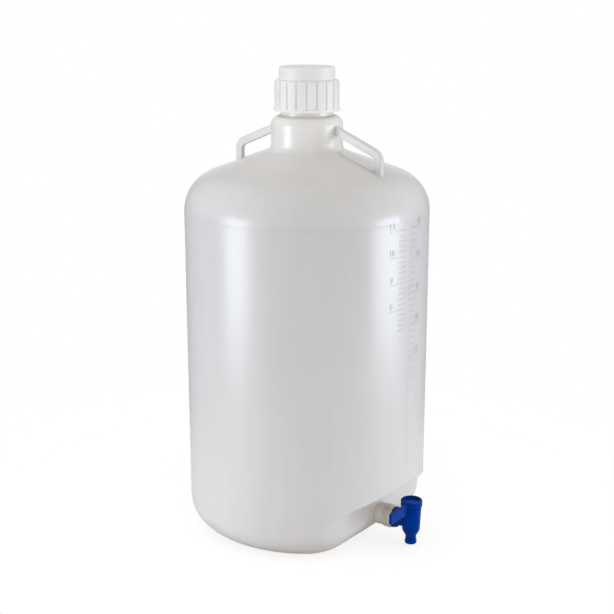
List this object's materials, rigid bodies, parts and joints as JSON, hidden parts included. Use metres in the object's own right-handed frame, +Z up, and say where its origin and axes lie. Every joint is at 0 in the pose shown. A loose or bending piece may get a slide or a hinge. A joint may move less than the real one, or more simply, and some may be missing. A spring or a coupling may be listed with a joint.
{
  "type": "liquid dispensing carboy",
  "caption": "Tall round translucent plastic carboy with two carrying handles, a ribbed screw cap and a lever tap at the foot for dispensing liquid detergent",
  "frame": {"origin": "on the bottle's axis, in the plane of the foot it stands on", "axes": "+Z up along the bottle's axis, -Y towards the tap, handles in the YZ plane"},
  "size_m": [0.354, 0.3807, 0.677],
  "materials": {
    "bottle_plastic": "translucent satin moulded polypropylene",
    "boss_plastic": "thick translucent moulded polypropylene",
    "cap_plastic": "white satin moulded polypropylene",
    "tap_plastic": "blue moulded polypropylene",
    "seal_rubber": "black rubber",
    "liner_foam": "white foamed liner"
  },
  "bodies": {
    "bottle": {"bottle": "bottle_plastic", "outlet_boss": "boss_plastic", "tap_gasket": "seal_rubber", "tap_body": "tap_plastic"},
    "tap_plug": {"tap_plug": "tap_plastic", "plug_seal_upper": "seal_rubber", "plug_seal_lower": "seal_rubber"},
    "cap_liner": {"cap_liner": "liner_foam"},
    "screw_cap": {"screw_cap": "cap_plastic"}
  },
  "joints": [
    {"name": "tap_turn", "type": "hinge", "parent": "bottle", "child": "tap_plug", "pos_m": [0, -0.188, 0.0345], "axis": [0, 0, 1], "range_deg": [0, 90]},
    {"name": "cap_lift", "type": "slide", "parent": "bottle", "child": "cap_liner", "axis": [0, 0, 1], "range_m": [0, 0.0601]},
    {"name": "cap_turn", "type": "hinge", "parent": "cap_liner", "child": "screw_cap", "pos_m": [0, 0, 0.6705], "axis": [0, 0, 1], "range_deg": [0, 3600]}
  ],
  "couplings": [
    {"joint": "cap_lift", "follows": "cap_turn", "m_per_rad": 0.00095493}
  ]
}
